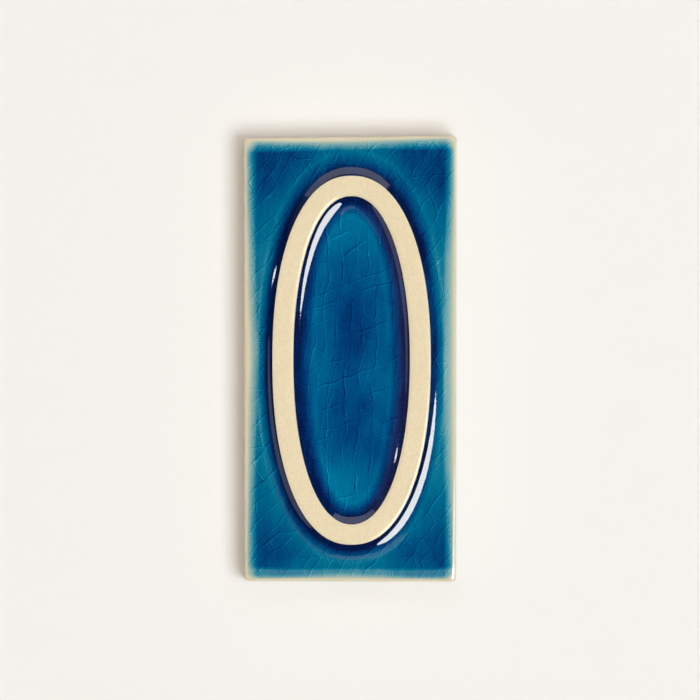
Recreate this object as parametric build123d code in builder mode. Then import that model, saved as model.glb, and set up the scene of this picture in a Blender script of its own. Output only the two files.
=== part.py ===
from build123d import *

import math
import os

# Glazed ceramic house number tile with the numeral 0 raised on its face.
# It stands as it is fixed to a wall: X to the right, Z up, the face towards -Y.
# The origin is the centre of the flat back. All sizes are in millimetres.

# Tile body
tile_width = 72.0
tile_height = 150.7
tile_thickness = 8.0
edge_radius = 1.0
back_edge_radius = 0.5

# Hand-cut outline: how far its corners stand inside the full rectangle
top_left_drop = 0.85
bottom_left_rise = 0.5
bottom_left_inset = 0.3
bottom_right_inset = 0.7

# Flat glaze left between the tile's edge and the bank of glaze round the numeral
side_border = 3.25
end_border = 7.1

# Raised numeral, a little off the tile's centre
numeral_shift_x = 0.35
numeral_shift_z = -0.35
stroke_at_sides = 7.0
stroke_at_ends = 6.8
numeral_relief = 2.2
arris_radius = 0.4
outer_power = 2.23
inner_power = 2.15

# Glaze drawn up against the numeral's walls: a bank that is steep at the wall and dies out in the field
bank_width = 6.0
bank_power = 2.0
bank_sections = 6

# Smoothness of the numeral's curves
points_per_oval = 48

# Numeral sizes that follow from the tile
tile_half_width = tile_width / 2
tile_half_height = tile_height / 2
outer_half_width = tile_half_width - side_border - bank_width
outer_half_height = tile_half_height - end_border - bank_width
inner_half_width = outer_half_width - stroke_at_sides
inner_half_height = outer_half_height - stroke_at_ends


def signed_power(value, exponent):
    """Raises the size of a value to a power and keeps its sign."""
    return math.copysign(abs(value) ** exponent, value)


def oval_outline(half_width, half_height, power):
    """Points round a superellipse about the numeral's centre, in the plane of the tile's face."""
    turns = [2 * math.pi * i / points_per_oval for i in range(points_per_oval)]
    return [
        (
            numeral_shift_x + half_width * signed_power(math.cos(turn), 2 / power),
            numeral_shift_z + half_height * signed_power(math.sin(turn), 2 / power),
        )
        for turn in turns
    ]


def bank_rise(distance):
    """Height of the glaze above the field at a distance from the numeral's wall."""
    return numeral_relief * (1 - distance / bank_width) ** bank_power


def oval_sections(half_width, half_height, power, outward):
    """Sketches of the bank's sections, from the field up to the numeral's face."""
    sections = []
    for i in range(bank_sections):
        distance = bank_width * (1 - i / (bank_sections - 1))
        spread = outward * distance
        with BuildSketch(Plane.XZ.offset(tile_thickness + bank_rise(distance))) as section:
            with BuildLine():
                Spline(*oval_outline(half_width + spread, half_height + spread, power), periodic=True)
            make_face()
        sections.append(section.sketch)
    return sections


tile_corners = [
    (-tile_half_width, tile_half_height - top_left_drop),
    (tile_half_width, tile_half_height),
    (tile_half_width - bottom_right_inset, -tile_half_height),
    (-tile_half_width + bottom_left_inset, -tile_half_height + bottom_left_rise),
]

with BuildPart() as number_tile:
    # Body, with its front edges and corners softened as pressed clay is
    with BuildSketch(Plane.XZ):
        with BuildLine():
            Polyline(*tile_corners, close=True)
        make_face()
    extrude(amount=tile_thickness)
    front_edges = number_tile.faces().sort_by(Axis.Y)[0].edges()
    corner_edges = number_tile.edges().filter_by(Axis.Y)
    fillet(front_edges + corner_edges, radius=edge_radius)
    back_edges = number_tile.faces().sort_by(Axis.Y)[-1].edges()
    fillet(back_edges, radius=back_edge_radius)

    # Outer bank, up to the whole area of the numeral's face
    bank_ovals = oval_sections(outer_half_width, outer_half_height, outer_power, outward=1)
    loft(sections=bank_ovals)

    # Well inside the numeral, down to the field again
    well_ovals = oval_sections(inner_half_width, inner_half_height, inner_power, outward=-1)
    loft(sections=well_ovals, mode=Mode.SUBTRACT)

    # Softened arris round the numeral's face
    numeral_face = number_tile.faces().sort_by(Axis.Y)[0]
    fillet(numeral_face.edges(), radius=arris_radius)

number_tile.part.label = "number_tile"

os.makedirs("parts", exist_ok=True)
export_step(number_tile.part, "parts/number_tile.step")
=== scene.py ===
import math

import bmesh
import bpy
from mathutils.kdtree import KDTree
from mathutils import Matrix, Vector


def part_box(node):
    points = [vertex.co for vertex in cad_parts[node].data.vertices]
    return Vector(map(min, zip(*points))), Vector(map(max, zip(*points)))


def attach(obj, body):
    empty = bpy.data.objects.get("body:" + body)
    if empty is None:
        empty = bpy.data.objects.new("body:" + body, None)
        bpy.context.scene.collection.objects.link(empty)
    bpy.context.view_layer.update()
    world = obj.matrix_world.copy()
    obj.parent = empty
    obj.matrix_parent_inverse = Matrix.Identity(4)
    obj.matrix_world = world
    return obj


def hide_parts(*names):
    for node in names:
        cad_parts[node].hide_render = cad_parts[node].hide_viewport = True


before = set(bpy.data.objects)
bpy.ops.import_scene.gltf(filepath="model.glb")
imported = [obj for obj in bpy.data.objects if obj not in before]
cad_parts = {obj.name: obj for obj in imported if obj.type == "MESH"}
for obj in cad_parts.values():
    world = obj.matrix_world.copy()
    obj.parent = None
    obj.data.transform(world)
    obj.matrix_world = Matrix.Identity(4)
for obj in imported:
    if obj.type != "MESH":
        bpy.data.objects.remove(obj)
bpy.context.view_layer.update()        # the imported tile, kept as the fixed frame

mm = 0.001
tileLow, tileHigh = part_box("number_tile")
print("frame loaded:", sorted(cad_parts))


def ramp(low, high, value):
    return min(max((value - low) / (high - low), 0), 1)


def smoothStep(low, high, value):
    t = ramp(low, high, value)
    return t * t * (3 - 2 * t)


def swell(place, spread, value):
    # 1 at a place, fading on both sides of it
    return math.exp(-((value - place) / spread) ** 2)


def linear(colour):
    # a screen colour, 0 to 255, as Blender's own linear colour
    shares = [c / 255 for c in colour]
    return [((s + 0.055) / 1.055) ** 2.4 if s > 0.04045 else s / 12.92 for s in shares] + [1]


# camera, square on to the face as in the photo
camera = {
    "distance": 1500,       # mm from the glaze
    "glazeAt": 8,           # mm from the wall to the glaze, roughly
    "frameWidth": 236.25,   # mm of the face that fill the picture
    "aimX": -0.06,
    "aimZ": 2.96,
    "sensor": 36,
}


def addCamera():
    away = camera["glazeAt"] + camera["distance"]
    bpy.ops.object.camera_add(
        location=(camera["aimX"] * mm, -away * mm, camera["aimZ"] * mm),
        rotation=(math.pi / 2, 0, 0),
    )
    eye = bpy.context.object
    eye.data.sensor_width = camera["sensor"]
    eye.data.lens = camera["sensor"] * camera["distance"] / camera["frameWidth"]
    bpy.context.scene.camera = eye
    print("camera set, lens", round(eye.data.lens, 1))


# sizes of the tile in mm, its width and height come from the frame
# four values in a row are for the left, right, top and bottom edges
tile = {
    "width": (tileHigh.x - tileLow.x) / mm,
    "height": (tileHigh.z - tileLow.z) / mm,
    "fieldDepth": 7.56,     # back to glaze
    "topLeftDrop": 0.85,    # hand-cut corners, inside the full rectangle
    "bottomLeftRise": 0.25,
    "bottomLeftInset": 0.3,
    "bottomRightInset": 0.25,
    "cornerRound": 1.25,
    "leastRound": 0.2,      # of the corners of rings further in
    "edgeRound": 0.8,
    "backRound": 0.5,
    "rollSlopes": (0.1, 0.3, 0.12, 0.2),    # the glaze falls away towards the edges
    "rollReaches": (1.0, 1.0, 1.0, 0.5),
    "stripSlopes": (0.07, 0, 0, 0.16),      # a strip along two edges leans out a little
    "stripWidths": (4.9, 0, 0, 3.6),
    "stripBow": 1.0,        # the bottom strip is wider at its ends
    "stripBend": 0.07,
}

# the raised numeral, in mm
numeral = {
    "shiftX": 0.35,
    "shiftZ": -0.35,
    "sideGap": 9.25,        # tile edge to numeral
    "endGap": 13.1,
    "strokeAtSides": 7.0,
    "strokeAtEnds": 6.8,
    "outerPower": 2.23,     # 2 is an ellipse, more is squarer
    "innerPower": 2.15,
    "wallHeight": 2.2,      # glaze field to where the glaze stops on the wall
    "wellSink": 0.1,        # field inside the numeral, below the field outside
    "bankReach": 3.0,       # how far the glaze climbs out from the numeral
    "arris": 0.5,           # softness of the face's edge
    "bareShiftX": 0.13,     # the bare clay isn't quite in the middle of the relief
    "bareShiftZ": -0.15,
    "bareOuter": -0.05,     # mm added to its outline outside and inside
    "bareInner": 0.12,
    "trueReach": 2.5,       # in the well, distances are square to the wall up to here
    "smoothReach": 6.5,     # and smoothed from here
}
# half the width and half the height of its outlines
outerHalf = (tile["width"] / 2 - numeral["sideGap"], tile["height"] / 2 - numeral["endGap"])
innerHalf = (outerHalf[0] - numeral["strokeAtSides"], outerHalf[1] - numeral["strokeAtEnds"])

# points along a quarter of each ring, the same for all rings so that they join spoke to spoke
spokes = {
    "side": 60,             # along half a long side
    "corner": 8,
    "end": 36,
    "cornerTurn": 43,       # degrees on the oval that run out to the tile's corner
    "cornerSpan": 5,
    "finer": 10,            # times as many points where distances are measured
}


def quarterTurns(finer):
    # one quarter of the outline, as the oval's angle at each point
    cornerStart = math.radians(spokes["cornerTurn"] - spokes["cornerSpan"] / 2)
    cornerEnd = math.radians(spokes["cornerTurn"] + spokes["cornerSpan"] / 2)
    stretches = (
        (0, cornerStart, spokes["side"] * finer),
        (cornerStart, cornerEnd, spokes["corner"] * finer),
        (cornerEnd, math.pi / 2, spokes["end"] * finer),
    )
    turns = []
    for start, end, steps in stretches:
        turns += [start + (end - start) * i / steps for i in range(steps)]
    return turns


def allTurns(finer):
    quarter = quarterTurns(finer)
    upper = quarter + [math.pi - t for t in [math.pi / 2] + quarter[:0:-1]]
    return upper + [t + math.pi for t in upper]


def signedPower(value, power):
    return math.copysign(abs(value) ** power, value)


def ovalRing(half, power, finer=1):
    return [
        (
            numeral["shiftX"] + half[0] * signedPower(math.cos(t), 2 / power),
            numeral["shiftZ"] + half[1] * signedPower(math.sin(t), 2 / power),
        )
        for t in allTurns(finer)
    ]


def bareRing(half, power):
    # an oval in line with the bare clay
    ring = ovalRing(half, power)
    return [(x + numeral["bareShiftX"], z + numeral["bareShiftZ"]) for x, z in ring]


def grown(half, growth):
    return half[0] + growth, half[1] + growth


def cutCorners(x, z):
    # moves a point of the full rectangle with the hand-cut corners
    right = x / tile["width"] + 0.5
    top = z / tile["height"] + 0.5
    left = 1 - right
    bottom = 1 - top
    x += left * bottom * tile["bottomLeftInset"] - right * bottom * tile["bottomRightInset"]
    z += left * bottom * tile["bottomLeftRise"] - left * top * tile["topLeftDrop"]
    return x, z


def tileRing(inset):
    halfWidth = tile["width"] / 2 - inset
    halfHeight = tile["height"] / 2 - inset
    radius = max(tile["cornerRound"] - inset, tile["leastRound"])
    straightX = halfWidth - radius
    straightZ = halfHeight - radius
    quarter = []
    for i in range(spokes["side"]):
        quarter.append((halfWidth, straightZ * i / spokes["side"]))
    for i in range(spokes["corner"]):
        turn = math.pi / 2 * i / spokes["corner"]
        quarter.append((straightX + radius * math.cos(turn), straightZ + radius * math.sin(turn)))
    for i in range(spokes["end"]):
        quarter.append((straightX * (1 - i / spokes["end"]), halfHeight))
    upper = quarter + [(-x, z) for x, z in [(0, halfHeight)] + quarter[:0:-1]]
    full = upper + [(-x, -z) for x, z in upper]
    return [cutCorners(x, z) for x, z in full]


def between(ringA, ringB, share):
    return [
        (a[0] + (b[0] - a[0]) * share, a[1] + (b[1] - a[1]) * share)
        for a, b in zip(ringA, ringB)
    ]


def ovalDistance(x, z, half, power):
    # distance outside an oval, negative inside it
    u = abs(x - numeral["shiftX"]) / half[0]
    w = abs(z - numeral["shiftZ"]) / half[1]
    reach = (u ** power + w ** power) ** (1 / power)
    nearMiddle = 0.05       # share of the way out, below it no side is nearest
    if reach < nearMiddle:
        return -half[0]
    slopeX = (u / reach) ** (power - 1) / half[0]
    slopeZ = (w / reach) ** (power - 1) / half[1]
    return (reach - 1) / math.hypot(slopeX, slopeZ)


def outlineTree(half, power):
    # close points of an outline, to find the nearest one to any place
    ring = ovalRing(half, power, spokes["finer"])
    tree = KDTree(len(ring))
    for i, (x, z) in enumerate(ring):
        tree.insert((x, 0, z), i)
    tree.balance()
    return ring, tree


def trueDistance(outline, x, z):
    # distance outside an outline, square to it
    ring, tree = outline
    nearest = tree.find((x, 0, z))[1]
    before = ring[nearest - 1]
    after = ring[(nearest + 1) % len(ring)]
    alongX = after[0] - before[0]
    alongZ = after[1] - before[1]
    away = (x - ring[nearest][0]) * alongZ - (z - ring[nearest][1]) * alongX
    return away / math.hypot(alongX, alongZ)


outerOutline = outlineTree(outerHalf, numeral["outerPower"])
innerOutline = outlineTree(innerHalf, numeral["innerPower"])


def outsideDistance(x, z):
    return trueDistance(outerOutline, x, z)


def insideDistance(x, z):
    # true by the wall, smooth across the middle
    wallDistance = -trueDistance(innerOutline, x, z)
    smoothDistance = -ovalDistance(x, z, innerHalf, numeral["innerPower"])
    share = smoothStep(numeral["trueReach"], numeral["smoothReach"], wallDistance)
    return wallDistance + (smoothDistance - wallDistance) * share


def edgeDistances(x, z):
    # distances in from the left, right, top and bottom edges
    right = x / tile["width"] + 0.5
    top = z / tile["height"] + 0.5
    return (
        x + tile["width"] / 2 - (1 - top) * tile["bottomLeftInset"],
        tile["width"] / 2 - (1 - top) * tile["bottomRightInset"] - x,
        tile["height"] / 2 - (1 - right) * tile["topLeftDrop"] - z,
        z + tile["height"] / 2 - (1 - right) * tile["bottomLeftRise"],
    )


def softCorner(value):
    # nothing below 0 and the value itself above, with a soft bend between
    bendEnd = 30
    return math.log1p(math.exp(value)) if value < bendEnd else value


def edgeFall(x, z):
    # how far the face falls towards the tile's edges
    fall = 0
    bows = (0, 0, 0, tile["stripBow"] * (2 * x / tile["width"]) ** 2)
    for i, edge in enumerate(edgeDistances(x, z)):
        reach = tile["rollReaches"][i]
        fall += tile["rollSlopes"][i] * reach * math.exp(-max(edge - tile["edgeRound"], 0) / reach)
        across = (tile["stripWidths"][i] + bows[i] - edge) / tile["stripBend"]
        fall += tile["stripSlopes"][i] * tile["stripBend"] * softCorner(across)
    return fall


def faceHeight(x, z):
    # height over the glaze field
    outside = outsideDistance(x, z)
    inside = insideDistance(x, z)
    height = numeral["wallHeight"]
    reach = numeral["bankReach"]
    arris = numeral["arris"]
    if outside > 0:
        rise = height - height * (1 - math.exp(-outside / reach))
    elif inside > 0:
        rise = height - (height + numeral["wellSink"]) * (1 - math.exp(-inside / reach))
    else:
        rise = height + height / reach * arris * (1 - math.exp(max(outside, inside) / arris))
    return rise - edgeFall(x, z)


# how the glaze lies and pools, in mm, and how much colour it holds from 0 to 1
# four values in a row are for the left, right, top and bottom edges
# upright and sideways are 0 in the middle of the tile and 1 at its edges
glaze = {
    "overEdge": 2,          # how far down the sides it may run
    "edgeStarts": (0.9, 0.55, 1.0, 0.8),    # bare clay along the edges
    "edgeThins": (3.75, 4.0, 4.2, 2.5),     # thin glaze up to here
    "edgePlateaus": (0, 0, 0, 1.6),         # even glaze between thin and full
    "edgeStep": 0.85,       # from thin to full
    "stepLead": 0.35,       # the step starts this much early
    "thinShare": 0.57,      # colour that the thin glaze holds, of the full
    "cornerReach": (0.3, 0.9),              # along an edge, from its middle to its corners
    "cornerScales": (1, 1, 0.8, 1),
    "cornerCovers": (0.4, 0.15, 0.6, 0.2),  # less bare clay towards the corners
    "cornerThins": (0.25, 1.0, 0.2, 0),     # and less thin glaze
    "cornerStep": 0.5,      # and a wider step
    "cornerRound": 3.0,
    "leftBare": 0.7,        # barer at the middle of the left edge
    "leftBareZ": 2,
    "leftBareSpread": 15,
    "topRightCover": 0.2,   # less bare along the right of the top edge
    "topRightReach": 12,
    "bottomThin": 0.9,      # thin glaze further in at the middle of the bottom edge
    "bottomThinX": -2,
    "bottomThinSpread": 11,
    "pool": 0.29,           # colour of the border
    "poolPerMm": 0.02,      # more away from the numeral
    "poolAtTop": 0.25,      # and towards the tile's ends
    "poolAtBottom": 0.18,
    "poolEndReach": (0.45, 0.9),            # upright
    "poolEndMiddle": 0.4,   # share of it between an end's corners
    "poolEndSides": (0.2, 0.6),             # sideways
    "poolMost": 0.805,
    "bankStart": 1.75,      # deep bank round the numeral
    "bankEnd": 4.55,
    "bankAtTop": 4.0,       # wider towards the tile's ends
    "bankAtBottom": 1.6,
    "bankTopLeft": 0.35,    # but less so at the top left
    "bankTopLeftReach": (0.3, 0.55),        # upright
    "bankTopLeftSide": 15,
    "rightBankReflection": 0.15,  # painted reflection: the bank right of the numeral is paler at mid height
    "rightBankReach": (0.3, 0.5),           # upright
    "rightBankSide": 10,
    "reflectionRing": 0.06,           # paler ring where the bank ends, a painted reflection
    "reflectionRingWidth": 0.7,
    "highlightPlace": 0.5,       # painted highlight low on the right edge, standing in for the key light mirrored in the rounded edge
    "highlightLean": 0.012,      # mm further in for each mm down
    "highlightWidth": 0.22,
    "highlightTop": -32,
    "highlightFade": 15,
    "wellStart": 2.2,       # deep bank inside the numeral
    "wellEnd": 7.0,
    "wellRightThin": 0.6,   # narrower at the right
    "wellRightSide": 12,
    "wellEdge": 0.64,
    "wellMiddle": 0.82,
    "wellMiddleX": 0.5,
    "wellMiddleEnds": (23, 41),
    "wellHalfWidth": 13,
    "wellAtTop": 0.09,      # paler at the ends
    "wellAtBottom": 0.14,
    "wellEnds": (28, 42),
    "outerPatches": [       # x, z, half width, half height, deeper or thinner by
        (-28, -38, 4, 11, 0.08),
        (23, -47, 5, 6, 0.16),
        (14, -62, 6, 5, 0.06),
        (24, 48, 4, 8, 0.05),
        (-21, -69.5, 11, 2, -0.12),
        (25, -69.5, 11, 2, -0.12),
        (-11, 64, 6, 4, 0.03),
        (10, 64, 5, 4, -0.04),
    ],
    "wellPatches": [
        (13, 0, 3, 25, 0.04),
        (0, -47, 7, 5, -0.05),
        (1, 5, 8, 5, 0.05),
        (-2, -20, 6, 8, -0.03),
        (0, 42, 4, 4, -0.05),
        (-5, 27, 4, 4, -0.05),
        (2, -7, 12, 6, -0.12),
        (-9, -15, 4, 20, -0.07),
        (11, -32, 6, 14, 0.07),
        (2, 27, 9, 6, -0.06),
        (-9, -17, 5, 6, 0.06),
        (6, -40, 6, 5, 0.06),
    ],
}


def cornerCut(side, end):
    # how much nearer the edge is at a rounded corner
    rounding = glaze["cornerRound"]
    if side > rounding or end > rounding:
        return 0
    return min(side, end) - rounding + math.hypot(rounding - side, rounding - end)


def patchDepth(patches, x, z):
    # soft patches of thinner or deeper glaze
    return sum(
        change * swell(patchX, width, x) * swell(patchZ, height, z)
        for patchX, patchZ, width, height, change in patches
    )


def edgeShare(x, z):
    # how much of its colour the glaze keeps towards the tile's edges
    upright = abs(z) / tile["height"] * 2
    sideways = abs(x) / tile["width"] * 2
    leftBare = glaze["leftBare"] * swell(glaze["leftBareZ"], glaze["leftBareSpread"], z)
    topCover = glaze["topRightCover"] * smoothStep(0, glaze["topRightReach"], x)
    bottomThin = glaze["bottomThin"] * swell(glaze["bottomThinX"], glaze["bottomThinSpread"], x)
    barer = (leftBare, 0, -topCover, 0)
    thinner = (0, 0, 0, bottomThin)
    edges = edgeDistances(x, z)
    cut = cornerCut(min(edges[:2]), min(edges[2:]))
    share = 1
    for i, along in enumerate((upright, upright, sideways, sideways)):
        nearCorner = smoothStep(*glaze["cornerReach"], along * glaze["cornerScales"][i])
        edge = edges[i] - cut - barer[i]
        start = glaze["edgeStarts"][i] - glaze["cornerCovers"][i] * nearCorner
        thinEnd = glaze["edgeThins"][i] - glaze["cornerThins"][i] * nearCorner
        stepStart = thinEnd + glaze["edgePlateaus"][i]
        stepEnd = stepStart + glaze["edgeStep"] + glaze["cornerStep"] * nearCorner
        thin = ramp(start, thinEnd + thinner[i], edge)
        full = smoothStep(stepStart - glaze["stepLead"], stepEnd, edge)
        share *= glaze["thinShare"] * thin + (1 - glaze["thinShare"]) * full
    return share


def bankReach(x, z):
    # how far the deep bank round the numeral goes out
    upright = z / tile["height"] * 2
    if z < 0:
        return glaze["bankEnd"] - glaze["bankAtBottom"] * upright
    atLeft = smoothStep(0, glaze["bankTopLeftSide"], -x)
    topLeft = smoothStep(*glaze["bankTopLeftReach"], upright) * atLeft
    return glaze["bankEnd"] + glaze["bankAtTop"] * upright ** 2 - glaze["bankTopLeft"] * topLeft


def borderDepth(x, z, distance):
    # colour of the glaze between the numeral and the tile's edge
    upright = abs(z) / tile["height"] * 2
    sideways = abs(x) / tile["width"] * 2
    atEnd = glaze["poolAtTop"] if z > 0 else glaze["poolAtBottom"]
    atCorners = smoothStep(*glaze["poolEndSides"], sideways)
    atEnd *= glaze["poolEndMiddle"] + (1 - glaze["poolEndMiddle"]) * atCorners
    pool = glaze["pool"] + glaze["poolPerMm"] * distance
    pool += atEnd * smoothStep(*glaze["poolEndReach"], upright)
    pool += patchDepth(glaze["outerPatches"], x, z)
    pool = min(pool, glaze["poolMost"]) * edgeShare(x, z)
    bankEnd = bankReach(x, z)
    # painted reflection: a paler ring where the bank ends
    pool -= glaze["reflectionRing"] * swell(bankEnd, glaze["reflectionRingWidth"], distance)
    midHeight = 1 - smoothStep(*glaze["rightBankReach"], upright)
    # painted reflection paling the bank right of the numeral
    paler = glaze["rightBankReflection"] * smoothStep(0, glaze["rightBankSide"], x) * midHeight
    bank = (1 - ramp(glaze["bankStart"], bankEnd, distance)) * (1 - paler)
    return pool + (1 - pool) * bank


def wellDepth(x, z, distance):
    # colour of the glaze inside the numeral, deepest up its middle
    middle = 1 - smoothStep(0, glaze["wellHalfWidth"], abs(x - glaze["wellMiddleX"]))
    middle *= 1 - smoothStep(*glaze["wellMiddleEnds"], abs(z))
    pool = glaze["wellEdge"] + (glaze["wellMiddle"] - glaze["wellEdge"]) * middle
    pool -= glaze["wellAtTop"] * smoothStep(*glaze["wellEnds"], z)
    pool -= glaze["wellAtBottom"] * smoothStep(*glaze["wellEnds"], -z)
    pool += patchDepth(glaze["wellPatches"], x, z)
    # painted reflection: a paler ring where the bank in the well ends
    pool -= glaze["reflectionRing"] * swell(glaze["wellEnd"], glaze["reflectionRingWidth"], distance)
    thinner = glaze["wellRightThin"] * smoothStep(0, glaze["wellRightSide"], x)
    bank = 1 - ramp(glaze["wellStart"] - thinner, glaze["wellEnd"] - thinner, distance)
    return pool + (1 - pool) * bank


def glazeDepth(x, z):
    # how much colour the glaze holds, 0 where it is thin and 1 where it is deepest
    distance = outsideDistance(x, z)
    if distance > 0:
        return borderDepth(x, z, distance)
    return wellDepth(x, z, insideDistance(x, z))


def paintedEdgeHighlight(x, z):
    # a painted highlight low on the right edge, standing in for the key light mirrored in the rounded
    # edge
    top = glaze["highlightTop"]
    place = glaze["highlightPlace"] + glaze["highlightLean"] * (top - z)
    across = swell(place, glaze["highlightWidth"], edgeDistances(x, z)[1])
    return across * smoothStep(top, top - glaze["highlightFade"], z)


# rings of points, from the middle of the numeral outwards, down the sides and across the back
ringPlaces = {
    "middle": 0.04,         # share of the way from the middle to the first inset
    "wellSteps": 16,
    "wellInsets": (         # mm in from the bare clay
        10, 9, 8, 7.1, 6.3, 5.6, 4.9, 4.3, 3.7, 3.2,
        2.7, 2.2, 1.8, 1.4, 1.05, 0.75, 0.5, 0.3, 0.15,
    ),
    "strokeShares": (0.015, 0.03, 0.05, 0.075, 0.105, 0.14, 0.19, 0.26, 0.36),  # from each side
    "bankSpreads": (        # mm out from the bare clay
        0.15, 0.3, 0.5, 0.75, 1.05, 1.4, 1.8, 2.2,
        2.7, 3.2, 3.7, 4.2, 4.7, 5.2, 5.7, 6.2,
    ),
    "borderSteps": 40,
    "borderCrowding": 1.25,     # 1 is even, more is closer together by the tile's edge
    "frontEdgeSteps": 8,
    "sideShares": (0.06, 0.25, 0.5, 0.75, 0.94, 1),
    "backEdgeSteps": 5,
    "backInsets": (0.8, 2, 5, 10, 20, 30),      # mm in from the tile's edge
}


def wellRings(inner):
    # flat outlines from the middle out to the bare clay
    deepest = grown(inner, -ringPlaces["wellInsets"][0])
    steps = ringPlaces["wellSteps"]
    shares = [ringPlaces["middle"]] + [i / steps for i in range(1, steps)]
    halves = [(deepest[0] * share, deepest[1] * share) for share in shares]
    halves += [grown(inner, -inset) for inset in ringPlaces["wellInsets"]]
    return [bareRing(half, numeral["innerPower"]) for half in halves]


def strokeRings(inner, outer):
    # flat outlines over the bare clay, closer together at its edges
    shares = ringPlaces["strokeShares"]
    middle = 0.5
    rings = [between(inner, outer, share) for share in shares]
    return rings + [between(outer, inner, share) for share in (middle,) + shares[::-1] + (0,)]


def borderRings(outer):
    # flat outlines from the bare clay to the tile's rounded edge
    rings = []
    for spread in ringPlaces["bankSpreads"]:
        rings.append(bareRing(grown(outer, spread), numeral["outerPower"]))
    foot = rings[-1]
    shoulder = tileRing(tile["edgeRound"])
    steps = ringPlaces["borderSteps"]
    for i in range(1, steps + 1):
        share = 1 - (1 - i / steps) ** ringPlaces["borderCrowding"]
        rings.append(between(foot, shoulder, share))
    return rings


def faceRings():
    # the outlines raised to the height of the face, each with its finish
    inner = grown(innerHalf, -numeral["bareInner"])
    outer = grown(outerHalf, numeral["bareOuter"])
    innerEdge = bareRing(inner, numeral["innerPower"])
    outerEdge = bareRing(outer, numeral["outerPower"])
    stretches = (
        (wellRings(inner) + [innerEdge], "glaze"),
        (strokeRings(innerEdge, outerEdge), "clay"),
        (borderRings(outer), "glaze"),
    )
    rings = []
    for outlines, finish in stretches:
        for points in outlines:
            raised = [(x, -(tile["fieldDepth"] + faceHeight(x, z)), z) for x, z in points]
            rings.append((raised, finish))
    return rings


def frontEdgeRings(before, shoulder):
    # rounded front edge, starting at the slope that the face has there
    steps = ringPlaces["frontEdgeSteps"]
    startTurns = []
    for inside, last in zip(before, shoulder):
        run = math.hypot(last[0] - inside[0], last[2] - inside[2])
        startTurns.append(math.atan(max((last[1] - inside[1]) / run, 0)))
    rings = []
    for i in range(1, steps + 1):
        points = []
        for (x, y, z), (rimX, rimZ), startTurn in zip(shoulder, tileRing(0), startTurns):
            radius = tile["edgeRound"] / (1 - math.sin(startTurn))
            turn = startTurn + (math.pi / 2 - startTurn) * i / steps
            share = radius * (1 - math.sin(turn)) / tile["edgeRound"]
            drop = radius * (math.cos(startTurn) - math.cos(turn))
            points.append((rimX + (x - rimX) * share, y + drop, rimZ + (z - rimZ) * share))
        rings.append((points, "glaze"))
    return rings


def sideRings(rim):
    # straight from the front edge to the back edge
    rings = []
    for share in ringPlaces["sideShares"]:
        depths = [-y + (tile["backRound"] + y) * share for x, y, z in rim]
        rings.append(([(x, -depth, z) for (x, z), depth in zip(tileRing(0), depths)], "clay"))
    return rings


def backRings():
    # rounded back edge and flat back
    rings = []
    steps = ringPlaces["backEdgeSteps"]
    for i in range(1, steps + 1):
        turn = math.pi / 2 * i / steps
        inset = tile["backRound"] * (1 - math.cos(turn))
        depth = tile["backRound"] * (1 - math.sin(turn))
        rings.append(([(x, -depth, z) for x, z in tileRing(inset)], "clay"))
    for inset in ringPlaces["backInsets"]:
        rings.append(([(x, 0, z) for x, z in tileRing(inset)], "clay"))
    return rings


def profileRings():
    rings = faceRings()
    rings += frontEdgeRings(rings[-2][0], rings[-1][0])
    rings += sideRings(rings[-1][0])
    return rings + backRings()


def buildTile(glazeFinish, clayFinish):
    # a disc in the middle of the face, extruded ring by ring
    rings = profileRings()
    bpy.ops.object.select_all(action="DESELECT")
    bpy.ops.mesh.primitive_circle_add(vertices=len(rings[0][0]), radius=mm, fill_type="NGON")
    piece = bpy.context.object
    piece.name = "numberTile"
    piece.data.name = "numberTile"
    piece.data.materials.append(glazeFinish)
    piece.data.materials.append(clayFinish)
    bpy.ops.object.mode_set(mode="EDIT")
    bpy.ops.mesh.select_mode(type="VERT")
    mesh = bmesh.from_edit_mesh(piece.data)
    spoke = mesh.verts.layers.int.new("spoke")
    for i, vert in enumerate(mesh.verts):
        vert[spoke] = i
    for ringNumber, (points, finish) in enumerate(rings):
        if ringNumber:
            faceCount = len(mesh.faces)
            bpy.ops.mesh.extrude_edges_indiv()
            mesh = bmesh.from_edit_mesh(piece.data)
            spoke = mesh.verts.layers.int["spoke"]
            mesh.faces.ensure_lookup_table()
            for face in mesh.faces[faceCount:]:
                face.material_index = 0 if finish == "glaze" else 1
        for vert in mesh.verts:
            if vert.select:
                vert.co = [c * mm for c in points[vert[spoke]]]
        bmesh.update_edit_mesh(piece.data)
    bpy.ops.mesh.edge_face_add()
    bpy.ops.mesh.select_all(action="SELECT")
    bpy.ops.mesh.normals_make_consistent(inside=False)
    bpy.ops.object.mode_set(mode="OBJECT")
    bpy.ops.object.shade_smooth()
    addDepths(piece)
    print("tile built:", len(piece.data.vertices), "points,", len(piece.data.polygons), "faces")
    return piece


def addDepths(piece):
    # the glaze finish reads these layers
    piece.data.attributes.remove(piece.data.attributes["spoke"])
    depth = piece.data.attributes.new("glazeDepth", "FLOAT", "POINT")
    well = piece.data.attributes.new("insideNumeral", "FLOAT", "POINT")
    # where the highlight on the right edge is painted
    edgeHighlight = piece.data.attributes.new("paintedEdgeHighlight", "FLOAT", "POINT")
    front = tile["fieldDepth"] - glaze["overEdge"]
    for i, vert in enumerate(piece.data.vertices):
        x, y, z = vert.co / mm
        depth.data[i].value = glazeDepth(x, z) if -y > front else 0
        well.data[i].value = 1 if outsideDistance(x, z) < 0 else 0
        edgeHighlight.data[i].value = paintedEdgeHighlight(x, z) if -y > front else 0


# finishes

faceOnly = 1000             # mm, a pattern this deep is the same all through the tile
noiseMiddle = 0.5


def newFinish(name):
    finish = bpy.data.materials.new(name)
    finish.use_nodes = True
    return finish, finish.node_tree.nodes["Principled BSDF"]


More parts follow.
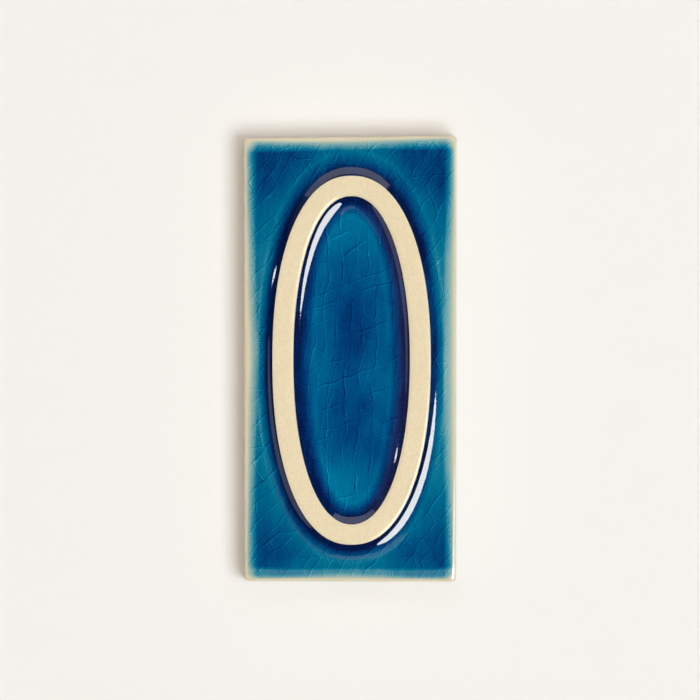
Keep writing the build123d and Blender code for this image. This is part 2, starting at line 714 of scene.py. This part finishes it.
def addNode(finish, kind, inputs, **settings):
    # a node with its settings, each input a value or another node's output
    node = finish.node_tree.nodes.new("ShaderNode" + kind)
    for name, value in settings.items():
        setattr(node, name, value)
    for name, value in inputs.items():
        if isinstance(value, bpy.types.NodeSocket):
            finish.node_tree.links.new(value, node.inputs[name])
        else:
            node.inputs[name].default_value = value
    return node


def layer(finish, name):
    # one of the tile's own layers
    return addNode(finish, "Attribute", {}, attribute_name=name).outputs["Fac"]


def calc(finish, operation, first, second=0.0, third=0.0):
    node = addNode(finish, "Math", {0: first, 1: second, 2: third}, operation=operation)
    return node.outputs[0]


def vectorCalc(finish, operation, first, second, third=(0, 0, 0)):
    node = addNode(finish, "VectorMath", {0: first, 1: second, 2: third}, operation=operation)
    return node.outputs[0]


def remap(finish, value, low, high, newLow, newHigh):
    inputs = {"Value": value, "From Min": low, "From Max": high, "To Min": newLow, "To Max": newHigh}
    return addNode(finish, "MapRange", inputs, interpolation_type="SMOOTHSTEP").outputs[0]


def blendValues(finish, share, first, second):
    return addNode(finish, "Mix", {"Factor": share, 2: first, 3: second}).outputs[0]


def blendColours(finish, share, first, second):
    inputs = {"Factor": share, 6: first, 7: second}
    return addNode(finish, "Mix", inputs, data_type="RGBA").outputs[2]


def stretched(finish, place, cell, lean=0, through=faceOnly):
    # places in steps of a pattern's cell, wide and long in mm, that leans right from upright
    inputs = {
        "Vector": place,
        "Rotation": (0, math.radians(lean), 0),
        "Scale": (cell[0] * mm, through * mm, cell[1] * mm),
    }
    return addNode(finish, "Mapping", inputs, vector_type="TEXTURE").outputs[0]


def noise(finish, place, cell, lean=0, through=faceOnly, detail=2.0, roughness=0.5, output="Fac"):
    inputs = {
        "Vector": stretched(finish, place, cell, lean, through),
        "Scale": 1.0,
        "Detail": detail,
        "Roughness": roughness,
    }
    return addNode(finish, "TexNoise", inputs).outputs[output]


def colourRamp(finish, value, stops):
    node = addNode(finish, "ValToRGB", {"Fac": value})
    elements = node.color_ramp.elements
    while len(elements) < len(stops):
        elements.new(0.5)
    for element, (place, colour) in zip(elements, stops):
        element.position = place
        element.color = linear(colour)
    return node.outputs["Color"]


def addBump(finish, shader, height, strength, rise):
    inputs = {"Strength": strength, "Distance": rise * mm, "Height": height}
    bump = addNode(finish, "Bump", inputs)
    finish.node_tree.links.new(bump.outputs[0], shader.inputs["Normal"])


# cracks in the glaze, sizes in mm and leans in degrees
# limits are a range of noise or of depth, then the strength at each end of it
crackle = {
    "wander": 5.0,          # how far the lines wander
    "wanderNoise": {"cell": (20, 20), "detail": 4.0, "roughness": 0.48},
    "outerLong": {"cell": (3.9, 7.5), "lean": 36},      # between long cracks, between short ones
    "innerLong": {"cell": (4.0, 6.5), "lean": 3},
    "outerCross": {"cell": (6.0, 10), "lean": -35},     # a fainter set that crosses here and there
    "innerCross": {"cell": (6.0, 11), "lean": 70},
    "longFade": {"cell": (5, 6), "limits": (0.38, 0.6, 0.15, 1)},       # lines come and go
    "crossFade": {"cell": (11, 11), "limits": (0.44, 0.6, 0, 0.75)},
    "fadeDetail": 1.0,
    "thinLimits": (0.04, 0.45, 0.05, 1),    # fainter where the glaze is thin
    "deepLimits": (0.75, 1, 1, 0.3),        # and where it is deepest
    "shortTilt": 0.35,      # short cracks aren't square to the long ones
    "shortShift": 7.3,      # nor in line from strip to strip
    "randomness": 1.0,      # 0 a plain grid, 1 fully random
    "lineWidth": 0.11,      # half the width of a line
    "highlightShift": (0.44, -0.38),    # from each dark crack to the painted highlight beside it, towards the key light
    "dark": 0.6,
    "light": (1.8, 1.8, 1.35),      # painted highlight lines beside the cracks, a little greener
    "plate": 0.05,          # each plate is a little deeper or thinner
}


def stripes(finish, along):
    # random stripes along a line: where each one lies, and how near its edge is
    inputs = {"W": along, "Scale": 1.0, "Randomness": crackle["randomness"]}
    middle = addNode(finish, "TexVoronoi", inputs, voronoi_dimensions="1D")
    edge = addNode(finish, "TexVoronoi", inputs, voronoi_dimensions="1D", feature="DISTANCE_TO_EDGE")
    return middle.outputs["W"], edge.outputs["Distance"]


def crackLine(finish, distance, cellSize):
    # 1 on a crack, nothing a line's width from it
    return remap(finish, distance, 0, crackle["lineWidth"] / cellSize, 1, 0)


def longCracks(finish, place, cell, lean):
    # long cracks side by side, short ones between them that stop at them, and a tone for each plate
    spots = addNode(finish, "SeparateXYZ", {0: stretched(finish, place, cell, lean)})
    across = spots.outputs["X"]
    strip, sideDistance = stripes(finish, across)
    along = calc(finish, "MULTIPLY_ADD", across, crackle["shortTilt"], spots.outputs["Z"])
    along = calc(finish, "MULTIPLY_ADD", strip, crackle["shortShift"], along)
    length, endDistance = stripes(finish, along)
    longLine = crackLine(finish, sideDistance, cell[0])
    shortLine = crackLine(finish, endDistance, cell[1])
    plate = addNode(finish, "CombineXYZ", {0: strip, 1: length}).outputs[0]
    tone = addNode(finish, "TexWhiteNoise", {"Vector": plate}).outputs["Value"]
    return calc(finish, "MAXIMUM", longLine, shortLine), tone


def crackLines(finish, place, insideNumeral, longStrength, crossStrength):
    # both sets of lines and the tones of the plates, with their own lean inside the numeral
    outerLine, outerTone = longCracks(finish, place, **crackle["outerLong"])
    innerLine, innerTone = longCracks(finish, place, **crackle["innerLong"])
    line = blendValues(finish, insideNumeral, outerLine, innerLine)
    tone = blendValues(finish, insideNumeral, outerTone, innerTone)
    outerLine = longCracks(finish, place, **crackle["outerCross"])[0]
    innerLine = longCracks(finish, place, **crackle["innerCross"])[0]
    cross = blendValues(finish, insideNumeral, outerLine, innerLine)
    line = calc(finish, "MULTIPLY", line, longStrength)
    cross = calc(finish, "MULTIPLY", cross, crossStrength)
    return calc(finish, "MAXIMUM", line, cross), tone


def crackPairs(finish, place, depth, thick, insideNumeral):
    # dark crack lines, a painted highlight line beside each, and the tones of the plates
    drift = noise(finish, place, **crackle["wanderNoise"], output="Color")
    drift = vectorCalc(finish, "SUBTRACT", drift, (noiseMiddle, noiseMiddle, noiseMiddle))
    sway = crackle["wander"] * mm * 2
    wandering = vectorCalc(finish, "MULTIPLY_ADD", drift, (sway, 0, sway), place)
    shiftX, shiftZ = crackle["highlightShift"]
    beside = vectorCalc(finish, "SUBTRACT", wandering, (shiftX * mm, 0, shiftZ * mm))
    seen = calc(finish, "MULTIPLY", thick, remap(finish, depth, *crackle["deepLimits"]))
    strengths = []
    for fade in (crackle["longFade"], crackle["crossFade"]):
        patches = noise(finish, place, fade["cell"], detail=crackle["fadeDetail"])
        strength = remap(finish, patches, *fade["limits"])
        strengths.append(calc(finish, "MULTIPLY", strength, seen))
    darkLine, plates = crackLines(finish, wandering, insideNumeral, *strengths)
    highlightLine = crackLines(finish, beside, insideNumeral, *strengths)[0]
    return darkLine, highlightLine, plates


# colour and surface of the glaze, sizes in mm and leans in degrees
coat = {
    "outerColours": [       # share of depth, screen colour
        (0.0, (226, 214, 182)),
        (0.125, (149, 181, 175)),
        (0.25, (75, 148, 164)),
        (0.375, (20, 118, 146)),
        (0.5, (0, 105, 138)),
        (0.625, (0, 90, 129)),
        (0.75, (0, 70, 119)),
        (0.875, (3, 45, 95)),
        (1.0, (6, 20, 59)),
    ],
    "innerColours": [       # bluer
        (0.25, (18, 140, 168)),
        (0.375, (0, 120, 154)),
        (0.5, (0, 105, 144)),
        (0.625, (0, 90, 134)),
        (0.75, (0, 70, 122)),
        (0.875, (1, 46, 101)),
        (1.0, (4, 21, 64)),
    ],
    "clouds": {"cell": (9, 17), "lean": 8, "detail": 3.0, "roughness": 0.55},
    "cloudStrength": 0.24,
    "streaks": {"cell": (1.5, 11), "lean": 6},
    "streakStrength": 0.16,
    "grain": {"cell": (0.5, 0.5), "roughness": 0.7},
    "grainStrength": 0.45,
    # near-white colour of the painted highlight on the right edge
    "highlightColour": (253, 250, 241),
    "highlightLimits": (0.3, 0.6, 0.8, 1),       # a little broken by the grain
    "bloomColour": (0.009, 0.004, 0.006),   # added light, on the bank at the right of the well
    "bloomSides": (2, 9),
    "bloomDepths": (0.77, 0.88),
    "ripple": {"cell": (2.2, 3.5)},         # a hand-dipped glaze is never quite even
    "lineDip": -0.06,       # dark lines lie a little lower
    "bumpStrength": 0.25,
    "bumpRise": 0.06,
    "roughness": 0.04,
    "ior": 1.75,
}


def mauveBloom(finish, place, depth, insideNumeral):
    across = addNode(finish, "SeparateXYZ", {0: place}).outputs["X"]
    start, end = coat["bloomSides"]
    bloom = calc(finish, "MULTIPLY", remap(finish, across, start * mm, end * mm, 0, 1), insideNumeral)
    return calc(finish, "MULTIPLY", bloom, remap(finish, depth, *coat["bloomDepths"], 0, 1))


def crackleGlaze():
    finish, shader = newFinish("crackleGlaze")
    place = addNode(finish, "TexCoord", {}).outputs["Object"]
    depth = layer(finish, "glazeDepth")
    insideNumeral = layer(finish, "insideNumeral")
    thick = remap(finish, depth, *crackle["thinLimits"])
    darkLine, highlightLine, plates = crackPairs(finish, place, depth, thick, insideNumeral)

    # brushed clouds of deeper and thinner glaze, and a fine grain
    grain = noise(finish, place, **coat["grain"])
    patterns = (
        (noise(finish, place, **coat["clouds"]), coat["cloudStrength"]),
        (noise(finish, place, **coat["streaks"]), coat["streakStrength"]),
        (grain, coat["grainStrength"]),
        (plates, crackle["plate"]),
    )
    amount = calc(finish, "MULTIPLY_ADD", darkLine, crackle["dark"], depth)
    for pattern, strength in patterns:
        change = calc(finish, "MULTIPLY", calc(finish, "SUBTRACT", pattern, noiseMiddle), thick)
        amount = calc(finish, "MULTIPLY_ADD", change, strength, amount)
    outerColour = colourRamp(finish, amount, coat["outerColours"])
    innerColour = colourRamp(finish, amount, coat["innerColours"])
    colour = blendColours(finish, insideNumeral, outerColour, innerColour)

    # over that the painted highlight on the right edge, the painted highlights beside the cracks and the
    # bloom of added light
    edgeHighlight = calc(finish, "MULTIPLY", layer(finish, "paintedEdgeHighlight"), remap(finish, grain, *coat["highlightLimits"]))
    colour = blendColours(finish, edgeHighlight, colour, linear(coat["highlightColour"]))
    # the painted highlights beside the cracks lighten the colour
    shine = vectorCalc(finish, "MULTIPLY_ADD", highlightLine, crackle["light"], (1, 1, 1))
    colour = vectorCalc(finish, "MULTIPLY", colour, shine)
    bloom = mauveBloom(finish, place, depth, insideNumeral)
    colour = vectorCalc(finish, "MULTIPLY_ADD", bloom, coat["bloomColour"], colour)
    finish.node_tree.links.new(colour, shader.inputs["Base Color"])

    ripple = noise(finish, place, **coat["ripple"])
    relief = calc(finish, "MULTIPLY_ADD", darkLine, coat["lineDip"], ripple)
    addBump(finish, shader, relief, coat["bumpStrength"], coat["bumpRise"])
    shader.inputs["Roughness"].default_value = coat["roughness"]
    shader.inputs["IOR"].default_value = coat["ior"]
    print("glaze mixed")
    return finish


# colour and surface of the bare clay, sizes in mm
clay = {
    "tone": {"cell": (4, 6), "through": 4, "detail": 5.0, "roughness": 0.6},
    "grain": {"cell": (0.45, 0.45), "through": 0.45, "roughness": 0.7},
    "grainStrength": 3.5,
    "toneSteps": (0.3, 0.5, 0.7),
    "face": ((237, 218, 179), (241, 222, 184), (244, 226, 189)),        # screen colours
    "bisqueAndShadedSide": ((224, 204, 162), (230, 210, 168), (235, 216, 174)),    # left side and top, darker and warmer as painted shade, which also warms the shadow beside them; and the back
    "litSide": ((231, 227, 219), (235, 232, 225), (239, 237, 231)),    # right side and bottom, paler and greyer as painted light, facing the key
    "leftInsets": (0.5, 1.5),       # in from the left side
    "topInsets": (1.34, 2.34),      # in from the top
    "backDepths": (0.1, 0.5),       # out from the back
    "faceDepths": (6.6, 7.4),
    "speckCell": 1.6,
    "speckSizes": (0.05, 0.12),     # of a cell
    "speckChances": (0.95, 0.97),
    "speckStrength": 0.45,
    "speckColour": (150, 118, 84),
    "pits": {"cell": (0.5, 0.5), "through": 0.5, "detail": 3.0},
    "pitStrength": 0.3,
    "pitRise": 0.1,
    "roughness": 0.2,
    "ior": 1.75,
}


def sideColour(finish, place, bisqueAndShadedSide, litSide):
    # painted shade: warm and darker on the left side and the top, away from the key light; warm too on
    # the back
    spots = addNode(finish, "SeparateXYZ", {0: place})
    leftEdge, leftEnd = ((inset - tile["width"] / 2) * mm for inset in clay["leftInsets"])
    topEdge, topEnd = ((tile["height"] / 2 - inset) * mm for inset in clay["topInsets"])
    backEdge, backEnd = (-depth * mm for depth in clay["backDepths"])
    left = remap(finish, spots.outputs["X"], leftEdge, leftEnd, 1, 0)
    top = remap(finish, spots.outputs["Z"], topEnd, topEdge, 0, 1)
    back = remap(finish, spots.outputs["Y"], backEnd, backEdge, 0, 1)
    shadedSideAndBack = calc(finish, "MAXIMUM", calc(finish, "MAXIMUM", left, top), back)
    return blendColours(finish, shadedSideAndBack, litSide, bisqueAndShadedSide)


def claySpecks(finish, place):
    # rare dark specks of grit
    size = clay["speckCell"]
    inputs = {"Vector": stretched(finish, place, (size, size), through=size), "Scale": 1.0}
    grit = addNode(finish, "TexVoronoi", inputs)
    chance = addNode(finish, "TexWhiteNoise", {"Vector": grit.outputs["Position"]}).outputs["Value"]
    speck = remap(finish, grit.outputs["Distance"], *clay["speckSizes"], 1, 0)
    chosen = remap(finish, chance, *clay["speckChances"], 0, clay["speckStrength"])
    return calc(finish, "MULTIPLY", speck, chosen)


def bareClay():
    finish, shader = newFinish("bareClay")
    place = addNode(finish, "TexCoord", {}).outputs["Object"]
    grain = calc(finish, "SUBTRACT", noise(finish, place, **clay["grain"]), noiseMiddle)
    tone = noise(finish, place, **clay["tone"])
    tone = calc(finish, "MULTIPLY_ADD", grain, clay["grainStrength"], tone)
    shades = {}
    for name in ("face", "bisqueAndShadedSide", "litSide"):
        shades[name] = colourRamp(finish, tone, list(zip(clay["toneSteps"], clay[name])))
    side = sideColour(finish, place, shades["bisqueAndShadedSide"], shades["litSide"])
    outFromBack = addNode(finish, "SeparateXYZ", {0: place}).outputs["Y"]
    sideTop, faceFoot = (-depth * mm for depth in clay["faceDepths"])
    onSide = remap(finish, outFromBack, faceFoot, sideTop, 0, 1)
    colour = blendColours(finish, onSide, shades["face"], side)
    colour = blendColours(finish, claySpecks(finish, place), colour, linear(clay["speckColour"]))
    finish.node_tree.links.new(colour, shader.inputs["Base Color"])
    addBump(finish, shader, noise(finish, place, **clay["pits"]), clay["pitStrength"], clay["pitRise"])
    shader.inputs["Roughness"].default_value = clay["roughness"]
    shader.inputs["IOR"].default_value = clay["ior"]
    print("clay mixed")
    return finish


# the wall behind the tile, in metres, open behind the tile itself
wall = {
    "reach": 0.6,           # from the opening to the wall's edge
    "gap": 0.0003,
    "lap": 0.002,           # of wall behind the tile's edge
    "colour": (245, 242, 237),      # screen colour, of the wall and what lies beyond it
}


def paleWall():
    # clear from behind, so that the tile's back can be seen
    finish, shader = newFinish("paleWall")
    finish.node_tree.nodes.remove(shader)
    front = addNode(finish, "BsdfDiffuse", {"Color": linear(wall["colour"])})
    clear = addNode(finish, "BsdfTransparent", {})
    side = addNode(finish, "NewGeometry", {})
    inputs = {0: side.outputs["Backfacing"], 1: front.outputs[0], 2: clear.outputs[0]}
    mix = addNode(finish, "MixShader", inputs)
    surface = finish.node_tree.nodes["Material Output"].inputs["Surface"]
    finish.node_tree.links.new(mix.outputs[0], surface)
    return finish


def addWall():
    bpy.ops.object.select_all(action="DESELECT")
    bpy.ops.mesh.primitive_plane_add(size=1, location=(0, 0, 0))
    panel = bpy.context.object
    panel.name = "wallPanel"
    openWidth = tile["width"] * mm - 2 * wall["lap"]
    openHeight = tile["height"] * mm - 2 * wall["lap"]
    panel.scale = (openWidth + 2 * wall["reach"], openHeight + 2 * wall["reach"], 1)
    panel.rotation_euler = (math.pi / 2, 0, 0)
    panel.location = (0, wall["gap"], 0)
    bpy.ops.object.transform_apply(location=True, rotation=True, scale=True)
    bpy.ops.object.mode_set(mode="EDIT")
    bpy.ops.mesh.select_all(action="SELECT")
    bpy.ops.mesh.inset(thickness=wall["reach"], depth=0)
    bpy.ops.mesh.delete(type="FACE")
    bpy.ops.object.mode_set(mode="OBJECT")
    panel.data.materials.append(paleWall())
    print("wall set")


def rolled(angle):
    # the turn of a lamp that faces the wall and is rolled about its own middle
    return math.pi / 2, angle, 0


# studio lamps, places and sizes in steps of studioScale, glow is the brightness of the lamp's surface
# one with mirrored False only lights, one with shines False only shows in the glaze
studioScale = 5             # metres
facingDown = (0, 0, 0)
facingRight = (0, -math.pi / 2, 0)
coolTint = (0.96, 1, 1.15)
keyPlace = (0.768, -1, -0.51)
lamps = {
    "keyBox": {
        "place": keyPlace, "size": (0.73, 0.967), "turn": rolled(0.6), "glow": 10.3,
        "tint": (0.985, 1, 0.955), "shape": "ELLIPSE", "shines": False,
    },
    "keyLight": {
        "place": keyPlace, "size": (0.9, 1.2), "turn": rolled(0.6), "glow": 9.35,
        "tint": (0.931, 1, 1.05), "shape": "ELLIPSE", "mirrored": False,
    },
    "topBoard": {
        "place": (0.055, -0.544, 0.6), "size": (0.95, 0.588), "turn": facingDown, "glow": 0.93,
        "tint": coolTint,
    },
    "topLeftBoard": {
        "place": (-0.57, -0.544, 0.6), "size": (0.3, 0.588), "turn": facingDown, "glow": 0.72,
        "tint": coolTint,
    },
    "topFarBoard": {
        "place": (-1.16, -0.544, 0.6), "size": (0.88, 0.588), "turn": facingDown, "glow": 0.09,
    },
    "leftBoard": {
        "place": (-0.7, -0.48, -0.34), "size": (0.74, 0.42), "turn": facingRight, "glow": 0.54,
        "tint": coolTint, "shape": "ELLIPSE",
    },
    "lowCard": {
        "place": (0.01, -1, -0.385), "size": (0.24, 0.15), "turn": rolled(0), "glow": 0.46,
    },
    "lowLeftCard": {
        "place": (-0.27, -1, -0.25), "size": (0.38, 0.13), "turn": rolled(0.6), "glow": 0.16,
    },
    "lowRightCard": {
        "place": (0.168, -1, -0.288), "size": (0.15, 0.174), "turn": rolled(-0.7), "glow": 0.42,
    },
    "sideStrip": {
        "place": (-1.18, -1, 0.24), "size": (0.34, 0.045), "turn": rolled(0.25), "glow": 11,
    },
    "roomFill": {
        "place": (-0.28, -1, 0.05), "size": (2.6, 2.6), "turn": rolled(0), "glow": 0.596,
        "tint": (1.124, 1, 0.866), "mirrored": False,
    },
}


def addLamps():
    for name, lamp in lamps.items():
        width, height = (side * studioScale for side in lamp["size"])
        place = [c * studioScale for c in lamp["place"]]
        bpy.ops.object.light_add(type="AREA", location=place, rotation=lamp["turn"])
        light = bpy.context.object
        light.name = name
        light.data.shape = lamp.get("shape", "RECTANGLE")
        light.data.size = width
        light.data.size_y = height
        area = width * height * (math.pi / 4 if light.data.shape == "ELLIPSE" else 1)
        light.data.energy = lamp["glow"] * math.pi * area
        light.data.color = lamp.get("tint", (1, 1, 1))
        light.visible_camera = False
        light.visible_glossy = lamp.get("mirrored", True)
        light.visible_diffuse = lamp.get("shines", True)
    print("lamps set:", ", ".join(lamps))


# the room is dark in front of the tile, so that the glaze mirrors the lamps alone
room = {
    "behind": 0.6,          # brightness behind the wall
    "fade": 0.6,            # how far round it comes up, 0 in the wall's plane and 1 straight behind
}


def addWorld():
    world = bpy.data.worlds.new("paleStudio")
    bpy.context.scene.world = world
    world.use_nodes = True
    seen = world.node_tree.nodes["Background"]
    seen.inputs["Color"].default_value = linear(wall["colour"])
    direction = addNode(world, "TexCoord", {}).outputs["Generated"]
    sides = addNode(world, "SeparateXYZ", {0: direction})
    behind = remap(world, sides.outputs["Y"], 0, room["fade"], 0, room["behind"])
    light = addNode(world, "Background", {"Color": behind})
    path = addNode(world, "LightPath", {})
    inputs = {0: path.outputs["Is Camera Ray"], 1: light.outputs[0], 2: seen.outputs[0]}
    mix = addNode(world, "MixShader", inputs)
    surface = world.node_tree.nodes["World Output"].inputs["Surface"]
    world.node_tree.links.new(mix.outputs[0], surface)
    print("world set")


addCamera()
addWall()
numberTile = buildTile(crackleGlaze(), bareClay())
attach(numberTile, "root")
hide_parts("number_tile")
addLamps()
addWorld()
bpy.context.scene.view_settings.view_transform = "Standard"
